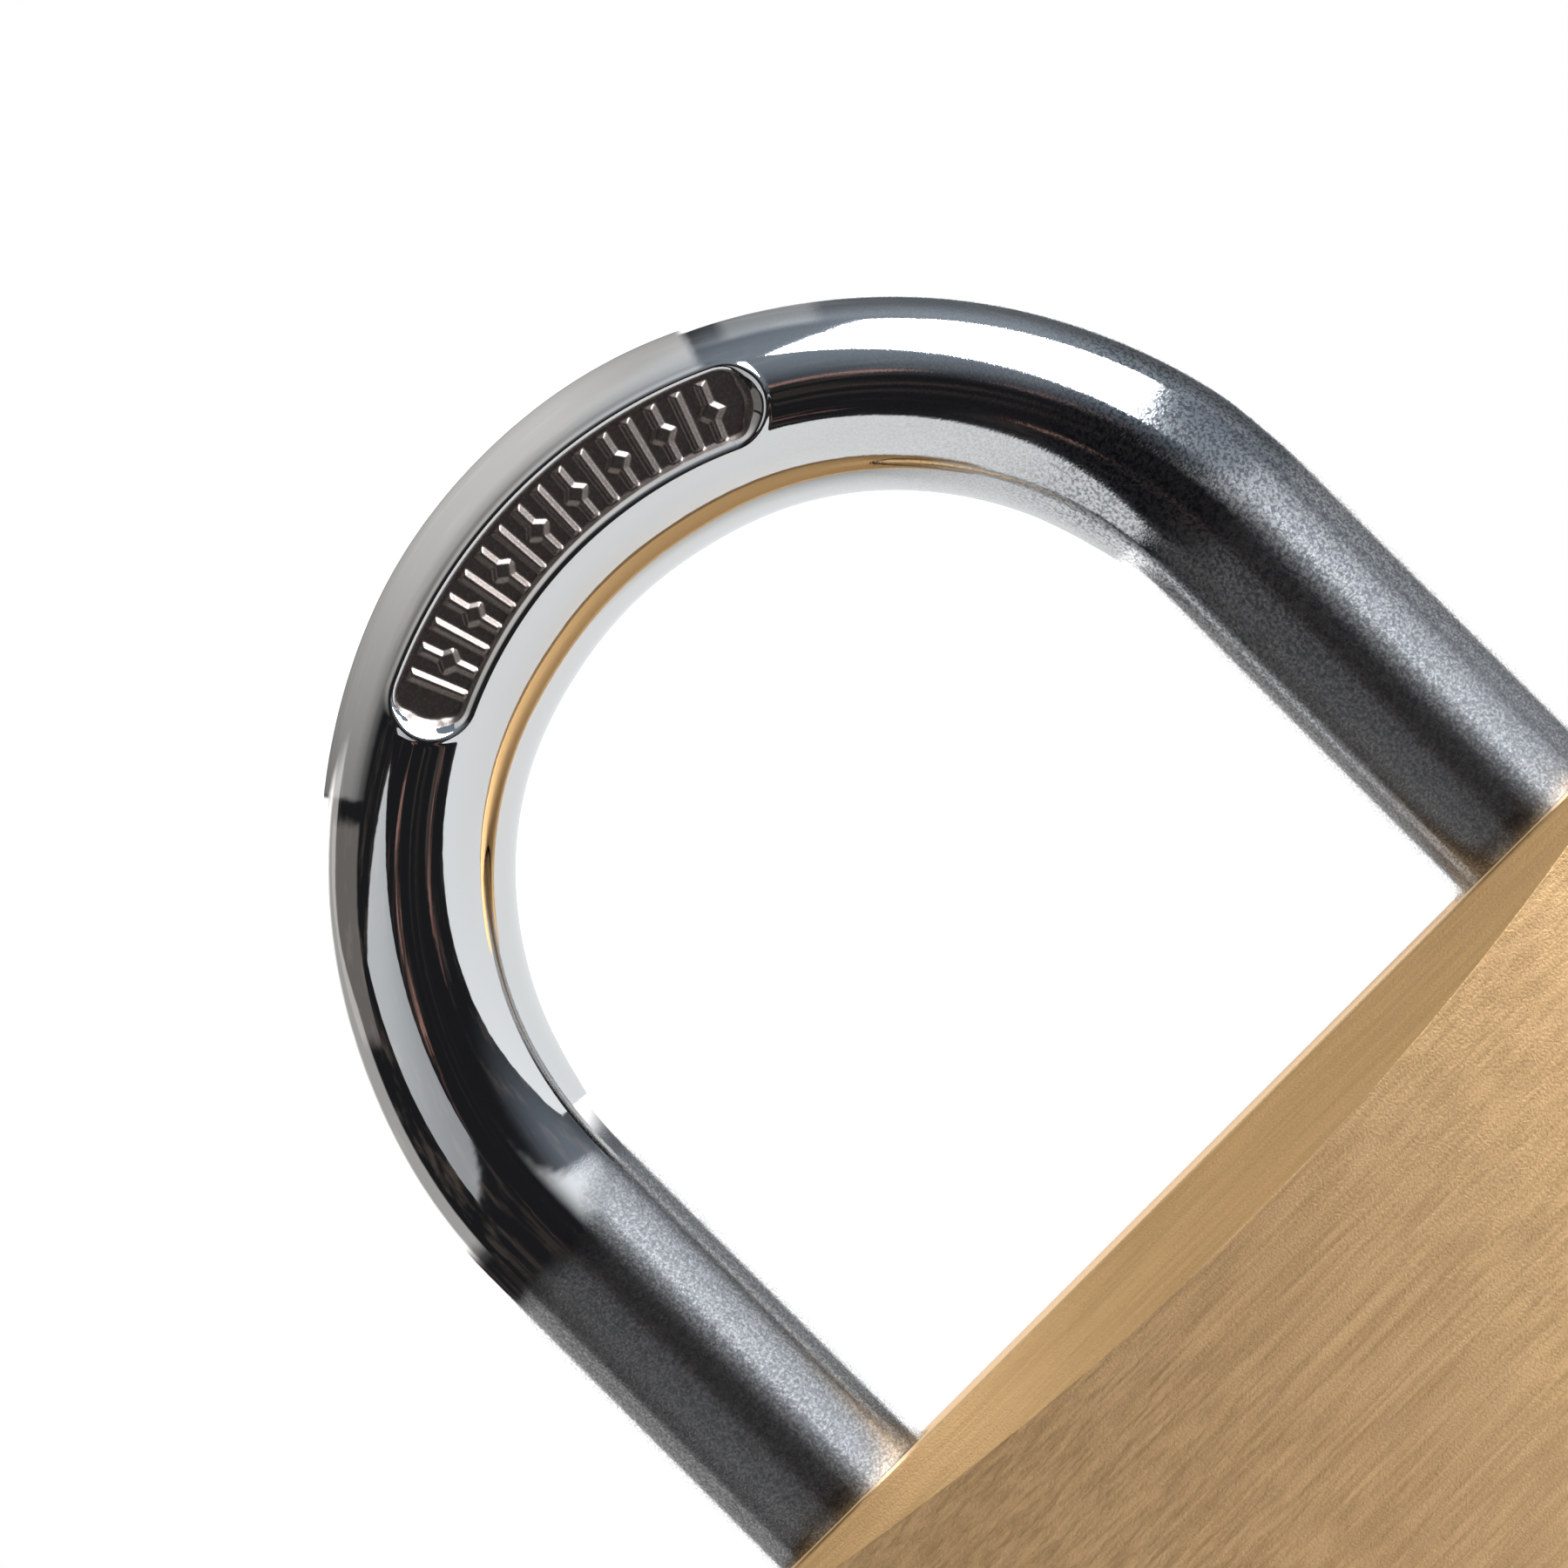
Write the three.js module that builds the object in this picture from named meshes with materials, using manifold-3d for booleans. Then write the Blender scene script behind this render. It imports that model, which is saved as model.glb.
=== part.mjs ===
// A solid brass padlock with a round steel shackle, drawn closed and unlocked:
// the plug is turned to its open position, so the bolts are drawn in and the shackle is free to rise.
// Millimetres, +Z up. The origin is the middle of the underside, the front faces -Y,
// the heel leg of the shackle is at -X and the toe leg at +X.
import * as THREE from 'three';
import { mergeVertices } from 'three/addons/utils/BufferGeometryUtils.js';
import Module from 'manifold-3d';

const wasm = await Module();
wasm.setup();

// Body
const bodyWidth = 40;
const bodyDepth = 15;
const bodyHeight = 34;
const faceRadius = 93;
const cornerRadius = 2.2;
const topBevel = 2.24;
const bottomBevel = 1.2;
const sideBevel = 0.7;

// Shackle
const rodRadius = 3.175;
const legX = 14.355;
const bendHeight = 12.56;
const legHoleClearance = 0.225;
const heelEndZ = 9.4;
const heelHeadTopZ = 11.7;
const heelHeadRadius = 3;
const neckTopZ = 24.6;
const neckRadius = 2;
const heelHoleFloorZ = 3;
const toeEndZ = 24;
const toeHoleFloorZ = 23;
const toeTaper = 0.6;
const toeSlack = 0.01;
const notchDepth = 1.25;
const notchClearance = 0.1;
const notchHalfWidth = 4;

// Panel stamped into the front of the bend, with a row of plain raised marks
const panelHalfAngle = 0.44;
const panelRadius = 14.66;
const panelWidth = 2.55;
const panelFloorY = -2.72;
const markCount = 8;
const markHeight = 1.7;
const markWidth = 0.55;
const markTopY = -3.02;

// Bolts, which slide in a cross bore under the top face
const boltZ = 29;
const boltRadius = 2.2;
const boltBoreRadius = 2.4;
const boltTipX = 10.8;
const boltHeadX = 3.6;
const boltHookFaceX = 2.4;
const boltHookEndX = 3.4;
const boltTailInnerY = 0.95;
const boltTailFloorZ = 28.7;
const boltHookTopZ = 28.4;
const boltHookReachY = 0.3;
const boltTipTaper = 0.5;
const boltBorePlugRadius = 2.3;
const boltBorePlugGap = 0.3;

// Plug and cam
const plugRadius = 5.3;
const plugBoreRadius = 5.5;
const plugBottomZ = 0.4;
const plugTopZ = 20.7;
const plugBoreTopZ = 23.4;
const plugGrooveRadius = 4.4;
const plugGrooveZ = 19;
const plugGrooveHeight = 2.2;
const keywayTopZ = 17.8;
// The keyway's three steps, which the key's warding fits: x from and to, y from and to
const keywaySteps = [
  [-0.3, 2.4, -0.6, 0.6],
  [-2.1, -0.1, -0.2, 1.1],
  [-4.3, -1.9, -0.8, 0.8],
];
const camTopZ = 23;
const camGap = 0.3;
const camRadius = 4.9;
const finLength = 4;
const finThickness = 1.6;
const finTopZ = 28.3;
const finHoleRadius = 2.3;
const tangDepth = 1.7;
const tangLength = 5.6;
const tangThickness = 1.6;
const tangSlack = 0.2;
const openTurn = Math.PI / 2;

// Pin stacks, which lie across the body on the +X side
const pinRows = [
  { z: 4.2, keyPinLength: 3.4 },
  { z: 7.2, keyPinLength: 2.6 },
  { z: 10.2, keyPinLength: 3.7 },
  { z: 13.2, keyPinLength: 3 },
  { z: 16.2, keyPinLength: 2.3 },
];
const pinRadius = 1.15;
const chamberRadius = 1.35;
const plugChamberFloorX = 1;
const keyPinOuterX = 5.2;
const keyPinTipTaper = 0.5;
const pinEdge = 0.15;
const driverWaist = 0.25;
const driverInnerX = 5.65;
const driverLength = 3.9;
const chamberPlugLength = 3.2;
const chamberPlugRadius = 1.25;
const flushGap = 0.15;

// Retaining pins, driven in from the back
const shacklePinRadius = 1;
const shacklePinX = -10.955;
const shacklePinZ = 23.4;
const plugPinRadius = 0.9;
const plugPinX = -5.6;
const retainingPinFrontY = -4;
const retainingPinGap = 0.1;

// Springs
const springGap = 0.12;
const shackleSpring = { outerRadius: 2.9, wireRadius: 0.35, turns: 6 };
const boltSpring = { outerRadius: 0.75, wireRadius: 0.14, turns: 8 };
const driverSpring = { outerRadius: 1.1, wireRadius: 0.13, turns: 7 };
const boltSpringLift = 0.9;

// Number of sides of a round piece or hole, by its size
const sides = { plug: 48, leg: 32, bolt: 24, pin: 16 };
// How far a cutter runs past the surface it opens, and how far joined shapes reach into each other
const cutOver = 1;
const joinOver = 0.2;

function toSolid(geometry) {
  const bare = geometry.clone();
  bare.deleteAttribute('normal');
  bare.deleteAttribute('uv');
  const merged = mergeVertices(bare, 1e-4);
  return new wasm.Manifold(new wasm.Mesh({
    numProp: 3,
    vertProperties: new Float32Array(merged.attributes.position.array),
    triVerts: new Uint32Array(merged.index.array),
  }));
}

function toGeometry(solid) {
  const mesh = solid.getMesh();
  const geometry = new THREE.BufferGeometry();
  geometry.setAttribute('position', new THREE.BufferAttribute(mesh.vertProperties, 3));
  geometry.setIndex(new THREE.BufferAttribute(mesh.triVerts, 1));
  geometry.computeVertexNormals();
  return geometry;
}

function cutAll(solid, cutters) {
  return cutters.reduce((rest, cutter) => rest.subtract(cutter), solid);
}

// A round bar along X, Y or Z from one coordinate to the other, about a centre line at (a, b),
// which are the other two coordinates in X, Y, Z order.
function roundBar(axis, from, to, radius, a, b, sideCount) {
  const bar = new THREE.CylinderGeometry(radius, radius, to - from, sideCount);
  const middle = (from + to) / 2;
  if (axis === 'x') {
    bar.rotateZ(Math.PI / 2);
    bar.translate(middle, a, b);
  } else if (axis === 'y') {
    bar.translate(a, middle, b);
  } else {
    bar.rotateX(Math.PI / 2);
    bar.translate(a, b, middle);
  }
  return toSolid(bar);
}

function block(lowX, highX, lowY, highY, lowZ, highZ) {
  const box = new THREE.BoxGeometry(highX - lowX, highY - lowY, highZ - lowZ);
  box.translate((lowX + highX) / 2, (lowY + highY) / 2, (lowZ + highZ) / 2);
  return toSolid(box);
}

// A turned solid about the Z axis from (radius, height) points that start and end on the axis.
function turned(points, sideCount) {
  const lathe = new THREE.LatheGeometry(points.map(([r, z]) => new THREE.Vector2(r, z)), sideCount);
  lathe.rotateX(Math.PI / 2);
  return toSolid(lathe);
}

// Depth of the crowned back face at a distance x from the middle of the body.
function crownY(x) {
  return bodyDepth / 2 - faceRadius + Math.sqrt(faceRadius ** 2 - x ** 2);
}

// Outline of the body seen from above: two crowned faces, two flat sides and four round corners.
function bodyOutline() {
  const centreY = faceRadius - bodyDepth / 2;
  const cornerX = bodyWidth / 2 - cornerRadius;
  const cornerY = centreY - Math.sqrt((faceRadius - cornerRadius) ** 2 - cornerX ** 2);
  const spread = Math.atan2(cornerX, centreY - cornerY);
  const right = Math.PI / 2;
  const outline = new THREE.Shape();
  outline.absarc(0, centreY, faceRadius, -right - spread, -right + spread);
  outline.absarc(cornerX, cornerY, cornerRadius, -right + spread, 0);
  outline.absarc(cornerX, -cornerY, cornerRadius, 0, right - spread);
  outline.absarc(0, -centreY, faceRadius, right - spread, right + spread);
  outline.absarc(-cornerX, -cornerY, cornerRadius, right + spread, Math.PI);
  outline.absarc(-cornerX, cornerY, cornerRadius, Math.PI, Math.PI + right - spread);
  return outline;
}

// A prism whose section has four cut corners, low and high, for the bevels of the body.
function bevelPrism(halfWidth, lowBevel, highBevel, length) {
  const section = new THREE.Shape([
    new THREE.Vector2(-halfWidth + lowBevel, 0),
    new THREE.Vector2(halfWidth - lowBevel, 0),
    new THREE.Vector2(halfWidth, lowBevel),
    new THREE.Vector2(halfWidth, bodyHeight - highBevel),
    new THREE.Vector2(halfWidth - highBevel, bodyHeight),
    new THREE.Vector2(-halfWidth + highBevel, bodyHeight),
    new THREE.Vector2(-halfWidth, bodyHeight - highBevel),
    new THREE.Vector2(-halfWidth, lowBevel),
  ]);
  const prism = new THREE.ExtrudeGeometry(section, { depth: length, bevelEnabled: false });
  prism.rotateX(Math.PI / 2);
  prism.translate(0, length / 2, 0);
  return prism;
}

function bodyBlock() {
  const blank = new THREE.ExtrudeGeometry(bodyOutline(), {
    depth: bodyHeight,
    bevelEnabled: false,
    curveSegments: 5,
  });
  const sideBevels = bevelPrism(bodyWidth / 2, sideBevel, sideBevel, 2 * bodyDepth);
  const faceBevels = bevelPrism(bodyDepth / 2, bottomBevel, topBevel, 2 * bodyWidth);
  faceBevels.rotateZ(Math.PI / 2);
  const blankSolid = toSolid(blank).intersect(toSolid(sideBevels)).intersect(toSolid(faceBevels));
  const holeRadius = rodRadius + legHoleClearance;
  const side = bodyWidth / 2 + cutOver;
  const back = bodyDepth / 2 + cutOver;
  const pinFront = retainingPinFrontY - retainingPinGap;
  const cutters = [
    roundBar('z', heelHoleFloorZ, bodyHeight + cutOver, holeRadius, -legX, 0, sides.leg),
    roundBar('z', toeHoleFloorZ, bodyHeight + cutOver, holeRadius, legX, 0, sides.leg),
    roundBar('x', -legX, side, boltBoreRadius, 0, boltZ, sides.bolt),
    roundBar('z', -cutOver, plugBoreTopZ, plugBoreRadius, 0, 0, sides.plug),
    roundBar('z', plugTopZ, boltZ, finHoleRadius, 0, 0, sides.bolt),
    roundBar('y', pinFront, back, shacklePinRadius + retainingPinGap, shacklePinX, shacklePinZ, sides.pin),
    roundBar('y', pinFront, back, plugPinRadius + retainingPinGap, plugPinX, plugGrooveZ, sides.pin),
    ...pinRows.map(({ z }) => roundBar('x', 0, side, chamberRadius, 0, z, sides.pin)),
  ];
  return toGeometry(cutAll(blankSolid, cutters));
}

// Centre line of the shackle rod above its neck: heel leg, half-circle bend, toe leg.
class ShackleLine extends THREE.Curve {
  constructor(bendSteps) {
    super();
    this.bendSteps = bendSteps;
  }

  getPoint(t) {
    const step = t * (this.bendSteps + 2);
    const bendZ = bodyHeight + bendHeight;
    if (step <= 1) {
      return new THREE.Vector3(-legX, 0, neckTopZ + (bendZ - neckTopZ) * step);
    }
    if (step >= this.bendSteps + 1) {
      const along = step - this.bendSteps - 1;
      const tipZ = toeEndZ + toeTaper;
      return new THREE.Vector3(legX, 0, bendZ + (tipZ - bendZ) * along);
    }
    const angle = Math.PI * (1 - (step - 1) / this.bendSteps);
    return new THREE.Vector3(legX * Math.cos(angle), 0, bendZ + legX * Math.sin(angle));
  }

  getPointAt(u) {
    return this.getPoint(u);
  }

  getTangentAt(u) {
    return this.getTangent(u);
  }
}

function circle(radius) {
  const shape = new THREE.Shape();
  shape.absarc(0, 0, radius, 0, 2 * Math.PI);
  return shape;
}

// A stadium bent along the shackle, as a solid from one depth to another.
function bentStadium(halfAngle, width, backY, frontY) {
  const up = Math.PI / 2;
  const capRadius = width / 2;
  const stadium = new THREE.Shape();
  const start = up - halfAngle;
  const end = up + halfAngle;
  stadium.absarc(0, 0, panelRadius + capRadius, start, end);
  stadium.absarc(panelRadius * Math.cos(end), panelRadius * Math.sin(end), capRadius, end, end + Math.PI);
  stadium.absarc(0, 0, panelRadius - capRadius, end, start, true);
  stadium.absarc(panelRadius * Math.cos(start), panelRadius * Math.sin(start), capRadius,
    start + Math.PI, start + 2 * Math.PI);
  const bar = new THREE.ExtrudeGeometry(stadium, {
    depth: backY - frontY,
    bevelEnabled: false,
    curveSegments: 6,
  });
  bar.rotateX(Math.PI / 2);
  bar.translate(0, backY, bodyHeight + bendHeight);
  return toSolid(bar);
}

// Plain raised marks: upright bars, each second one with a lozenge across its middle.
function panelMark(index) {
  const spread = 2 * panelHalfAngle;
  const angle = Math.PI / 2 + spread / 2 - (spread * (index + 0.5)) / markCount;
  const thickness = panelFloorY - markTopY + joinOver;
  const bar = new THREE.BoxGeometry(markWidth, thickness, markHeight);
  let mark = toSolid(bar);
  if (index % 2 === 1) {
    const lozenge = new THREE.BoxGeometry(2 * markWidth, thickness, 2 * markWidth);
    lozenge.rotateY(Math.PI / 4);
    mark = mark.add(toSolid(lozenge));
  }
  const geometry = toGeometry(mark);
  geometry.translate(0, panelFloorY + joinOver - thickness / 2, panelRadius);
  geometry.rotateY(Math.PI / 2 - angle);
  geometry.translate(0, 0, bodyHeight + bendHeight);
  return toSolid(geometry);
}

function shackle() {
  const rod = new THREE.ExtrudeGeometry(circle(rodRadius), {
    steps: 30,
    curveSegments: 12,
    bevelEnabled: false,
    extrudePath: new ShackleLine(28),
  });
  const heel = turned([
    [0, heelEndZ],
    [heelHeadRadius, heelEndZ],
    [heelHeadRadius, heelHeadTopZ],
    [neckRadius, heelHeadTopZ],
    [neckRadius, neckTopZ + joinOver],
    [0, neckTopZ + joinOver],
  ], sides.bolt).translate([-legX, 0, 0]);
  const toeRadius = rodRadius - toeSlack;
  const toeTip = turned([
    [0, toeEndZ],
    [rodRadius - toeTaper, toeEndZ],
    [toeRadius, toeEndZ + toeTaper],
    [toeRadius, toeEndZ + toeTaper + joinOver],
    [0, toeEndZ + toeTaper + joinOver],
  ], sides.bolt).translate([legX, 0, 0]);
  const notchInnerX = legX - rodRadius - cutOver;
  const notchFloorX = legX - rodRadius + notchDepth;
  const notchLowZ = boltZ - boltBoreRadius - notchClearance;
  const notchHighZ = boltZ + boltBoreRadius + notchClearance;
  const toeNotch = block(notchInnerX, notchFloorX, -notchHalfWidth, notchHalfWidth, notchLowZ, notchHighZ);
  const heelNotch = block(-notchFloorX, -notchInnerX, -notchHalfWidth, notchHalfWidth, notchLowZ, notchHighZ);
  const panel = bentStadium(panelHalfAngle, panelWidth, panelFloorY, -rodRadius - cutOver);
  let solid = toSolid(rod).add(heel).add(toeTip);
  solid = cutAll(solid, [toeNotch, heelNotch, panel]);
  for (let index = 0; index < markCount; index += 1) {
    solid = solid.add(panelMark(index));
  }
  return toGeometry(solid);
}

class Helix extends THREE.Curve {
  constructor(radius, height, turns) {
    super();
    this.radius = radius;
    this.height = height;
    this.turns = turns;
  }

  getPoint(t) {
    const angle = 2 * Math.PI * this.turns * t;
    return new THREE.Vector3(
      this.radius * Math.cos(angle),
      this.radius * Math.sin(angle),
      this.height * t,
    );
  }
}

// A coil spring standing on z = 0, with its wire inside the given length.
function spring({ outerRadius, wireRadius, turns }, length) {
  const coil = new Helix(outerRadius - wireRadius, length - 2 * wireRadius, turns);
  const wire = new THREE.ExtrudeGeometry(circle(wireRadius), {
    steps: turns * 8,
    curveSegments: 2,
    bevelEnabled: false,
    extrudePath: coil,
  });
  wire.translate(0, 0, wireRadius);
  return toGeometry(toSolid(wire));
}

// The bolt on the +X side: a round head, and a half-lapped tail that reaches past the cam's fin
// and ends in a hook, which the fin pushes to draw the bolt in.
function lockingBolt() {
  const profile = [
    [0, 0],
    [boltRadius, 0],
    [boltRadius, boltTipX + boltHookEndX - boltTipTaper],
    [boltRadius - boltTipTaper, boltTipX + boltHookEndX],
    [0, boltTipX + boltHookEndX],
  ];
  const lathe = new THREE.LatheGeometry(profile.map(([r, x]) => new THREE.Vector2(r, x)), sides.bolt);
  lathe.rotateZ(-Math.PI / 2);
  lathe.translate(-boltHookEndX, 0, boltZ);
  const low = boltZ - boltRadius - cutOver;
  const high = boltZ + boltRadius + cutOver;
  const wide = boltRadius + cutOver;
  const end = -boltHookEndX - cutOver;
  const cutters = [
    block(-boltHookFaceX, boltHeadX, -wide, wide, low, boltTailFloorZ),
    block(end, boltHeadX, -wide, boltTailInnerY, boltHookTopZ, high),
    block(end, boltHeadX, -wide, -boltHookReachY, low, high),
  ];
  return toGeometry(cutAll(toSolid(lathe), cutters));
}

function plug() {
  const grooveLow = plugGrooveZ - plugGrooveHeight / 2;
  const grooveHigh = plugGrooveZ + plugGrooveHeight / 2;
  const blank = turned([
    [0, plugBottomZ],
    [plugRadius, plugBottomZ],
    [plugRadius, grooveLow],
    [plugGrooveRadius, grooveLow],
    [plugGrooveRadius, grooveHigh],
    [plugRadius, grooveHigh],
    [plugRadius, plugTopZ],
    [0, plugTopZ],
  ], sides.plug);
  const slotX = tangLength / 2 + tangSlack;
  const slotY = tangThickness / 2 + tangSlack;
  const outside = plugRadius + cutOver;
  const cutters = [
    ...keywaySteps.map(([lowX, highX, lowY, highY]) => block(lowX, highX, lowY, highY, 0, keywayTopZ)),
    block(-slotX, slotX, -slotY, slotY, plugTopZ - tangDepth, plugTopZ + cutOver),
    ...pinRows.map(({ z }) => roundBar('x', plugChamberFloorX, outside, chamberRadius, 0, z, sides.pin)),
  ];
  return toGeometry(cutAll(blank, cutters));
}

// The cam: a disc with a tang that the plug turns, and an oval fin between the bolts' hooks.
// The fin lies across the body when the plug is at home, and along it when the plug is turned open.
function cam() {
  const discBottomZ = plugTopZ + camGap;
  const disc = roundBar('z', discBottomZ, camTopZ, camRadius, 0, 0, sides.leg);
  const tang = block(-tangLength / 2, tangLength / 2, -tangThickness / 2, tangThickness / 2,
    plugTopZ - tangDepth + camGap, discBottomZ + joinOver);
  const finBottomZ = camTopZ - joinOver;
  const fin = new THREE.CylinderGeometry(1, 1, finTopZ - finBottomZ, sides.bolt);
  fin.rotateX(Math.PI / 2);
  fin.scale(finThickness / 2, finLength / 2, 1);
  fin.translate(0, 0, (finBottomZ + finTopZ) / 2);
  return toGeometry(disc.add(tang).add(toSolid(fin)));
}

// A key pin pointing along +X from its cone tip to its crowned outer end.
function keyPin(length) {
  const lathe = new THREE.LatheGeometry([
    new THREE.Vector2(0, 0),
    new THREE.Vector2(pinRadius - keyPinTipTaper, 0),
    new THREE.Vector2(pinRadius, keyPinTipTaper),
    new THREE.Vector2(pinRadius, length - pinEdge),
    new THREE.Vector2(pinRadius - pinEdge, length),
    new THREE.Vector2(0, length),
  ], sides.pin);
  lathe.rotateZ(-Math.PI / 2);
  return toGeometry(toSolid(lathe));
}

// A driver pin along +X, waisted in the middle.
function driverPin() {
  const waist = pinRadius - driverWaist;
  const lathe = new THREE.LatheGeometry([
    new THREE.Vector2(0, 0),
    new THREE.Vector2(pinRadius - pinEdge, 0),
    new THREE.Vector2(pinRadius, pinEdge),
    new THREE.Vector2(pinRadius, driverLength * 0.3),
    new THREE.Vector2(waist, driverLength * 0.35),
    new THREE.Vector2(waist, driverLength * 0.65),
    new THREE.Vector2(pinRadius, driverLength * 0.7),
    new THREE.Vector2(pinRadius, driverLength - pinEdge),
    new THREE.Vector2(pinRadius - pinEdge, driverLength),
    new THREE.Vector2(0, driverLength),
  ], sides.pin);
  lathe.rotateZ(-Math.PI / 2);
  return toGeometry(toSolid(lathe));
}

function named(name, geometry, color, roughness, metalness = 1) {
  const mesh = new THREE.Mesh(geometry, new THREE.MeshStandardMaterial({ color, roughness, metalness }));
  mesh.name = name;
  return mesh;
}

const brass = 0xb6905f;
const chrome = 0xd7dade;
const steel = 0x9a9da0;
const springSteel = 0x8f9296;

const padlock = new THREE.Group();
const turnedPlug = new THREE.Group();
turnedPlug.rotation.z = openTurn;
padlock.add(turnedPlug);

padlock.add(named('body_block', bodyBlock(), brass, 0.38));
padlock.add(named('shackle', shackle(), chrome, 0.08));

const shackleCoil = named(
  'shackle_spring',
  spring(shackleSpring, heelEndZ - heelHoleFloorZ - 2 * springGap),
  springSteel,
  0.35,
);
shackleCoil.position.set(-legX, 0, heelHoleFloorZ + springGap);
padlock.add(shackleCoil);

const toeBolt = named('toe_bolt', lockingBolt(), steel, 0.3);
padlock.add(toeBolt);
const heelBolt = named('heel_bolt', lockingBolt(), steel, 0.3);
heelBolt.rotation.z = Math.PI;
padlock.add(heelBolt);

const boltCoil = named('bolt_spring', spring(boltSpring, 2 * (boltHeadX - springGap)), springSteel, 0.35);
boltCoil.rotation.y = Math.PI / 2;
boltCoil.position.set(-boltHeadX + springGap, 0, boltTailFloorZ + boltSpringLift);
padlock.add(boltCoil);

const sideFace = bodyWidth / 2 - flushGap;
const boltBorePlugInnerX = legX + rodRadius + legHoleClearance + boltBorePlugGap;
padlock.add(named(
  'bolt_bore_plug',
  toGeometry(roundBar('x', boltBorePlugInnerX, sideFace, boltBorePlugRadius, 0, boltZ, sides.bolt)),
  brass,
  0.38,
));

const shacklePinBackY = crownY(shacklePinX) - flushGap;
padlock.add(named(
  'shackle_retaining_pin',
  toGeometry(roundBar('y', retainingPinFrontY, shacklePinBackY, shacklePinRadius,
    shacklePinX, shacklePinZ, sides.pin)),
  steel,
  0.35,
));
const plugPinBackY = crownY(plugPinX) - flushGap;
padlock.add(named(
  'plug_retaining_pin',
  toGeometry(roundBar('y', retainingPinFrontY, plugPinBackY, plugPinRadius,
    plugPinX, plugGrooveZ, sides.pin)),
  steel,
  0.35,
));

turnedPlug.add(named('plug', plug(), brass, 0.42));
turnedPlug.add(named('cam', cam(), steel, 0.4));

const driverOuterX = driverInnerX + driverLength;
const chamberPlugInnerX = sideFace - chamberPlugLength;
const driverSpringLength = chamberPlugInnerX - driverOuterX - 2 * springGap;
pinRows.forEach(({ z, keyPinLength }, index) => {
  const number = index + 1;
  const lowerPin = named(`key_pin_${number}`, keyPin(keyPinLength), brass, 0.3);
  lowerPin.position.set(keyPinOuterX - keyPinLength, 0, z);
  turnedPlug.add(lowerPin);

  const upperPin = named(`driver_pin_${number}`, driverPin(), brass, 0.3);
  upperPin.position.set(driverInnerX, 0, z);
  padlock.add(upperPin);

  const coil = named(`driver_spring_${number}`, spring(driverSpring, driverSpringLength), springSteel, 0.35);
  coil.rotation.y = Math.PI / 2;
  coil.position.set(driverOuterX + springGap, 0, z);
  padlock.add(coil);

  padlock.add(named(
    `chamber_plug_${number}`,
    toGeometry(roundBar('x', chamberPlugInnerX, sideFace, chamberPlugRadius, 0, z, sides.pin)),
    brass,
    0.38,
  ));
});

export default padlock;
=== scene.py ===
import math

import bmesh
import bpy
import numpy as np
from mathutils import Matrix, Vector


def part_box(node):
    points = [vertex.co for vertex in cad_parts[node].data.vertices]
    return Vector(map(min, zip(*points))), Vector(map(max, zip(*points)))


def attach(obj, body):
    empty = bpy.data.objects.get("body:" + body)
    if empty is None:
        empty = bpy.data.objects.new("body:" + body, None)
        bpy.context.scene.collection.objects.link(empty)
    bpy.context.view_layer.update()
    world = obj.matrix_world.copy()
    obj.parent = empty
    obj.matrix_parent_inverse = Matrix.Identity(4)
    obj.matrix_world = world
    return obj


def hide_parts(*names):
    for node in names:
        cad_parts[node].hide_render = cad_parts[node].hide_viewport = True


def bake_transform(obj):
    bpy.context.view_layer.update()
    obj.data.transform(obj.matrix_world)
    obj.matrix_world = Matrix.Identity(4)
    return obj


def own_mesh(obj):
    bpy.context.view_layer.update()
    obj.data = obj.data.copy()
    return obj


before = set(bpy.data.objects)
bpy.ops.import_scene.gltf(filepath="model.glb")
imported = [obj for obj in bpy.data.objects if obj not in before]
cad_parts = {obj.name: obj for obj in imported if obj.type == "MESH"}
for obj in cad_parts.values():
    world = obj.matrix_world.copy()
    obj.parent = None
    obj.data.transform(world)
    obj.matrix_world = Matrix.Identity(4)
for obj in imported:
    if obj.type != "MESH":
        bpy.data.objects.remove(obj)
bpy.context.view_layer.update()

MM = 0.001

# Sizes read from the frame, in metres
BODY_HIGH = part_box("body_block")[1]
SHACKLE_LOW, SHACKLE_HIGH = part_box("shackle")
BODY_TOP = BODY_HIGH.z
HALF_WIDTH = BODY_HIGH.x
HALF_DEPTH = BODY_HIGH.y
ROD = SHACKLE_HIGH.y
LEG_X = SHACKLE_HIGH.x - ROD
BEND_Z = SHACKLE_HIGH.z - ROD - LEG_X
HEEL_END = SHACKLE_LOW.z

# Body surface
FACE_RADIUS = 93 * MM
CORNER_RADIUS = 2.2 * MM
TOP_BEVEL = 2.24 * MM
BOTTOM_BEVEL = 1.2 * MM
SIDE_BEVEL = 0.7 * MM
LEAST_BEVEL = 0.05 * MM
TOP_EDGE = 0.5 * MM
FACE_EDGE = 0.06 * MM
LEAST_TILT = 0.7
FACE_STEPS = 40
CORNER_STEPS = 14

# Bores
LEG_HOLE = 3.4 * MM
HEEL_HOLE_FLOOR = 3 * MM
TOE_HOLE_FLOOR = 23 * MM
BOLT_BORE = 2.4 * MM
PLUG_BORE = 5.5 * MM
PLUG_BORE_END = 23.4 * MM
FIN_HOLE = 2.3 * MM
CHAMBER = 1.35 * MM
PIN_PLAY = 0.03 * MM
RIM = 0.18 * MM
BEYOND = 3 * MM
FINE_SIDES = 128
MEDIUM_SIDES = 96
SMALL_SIDES = 64

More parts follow.
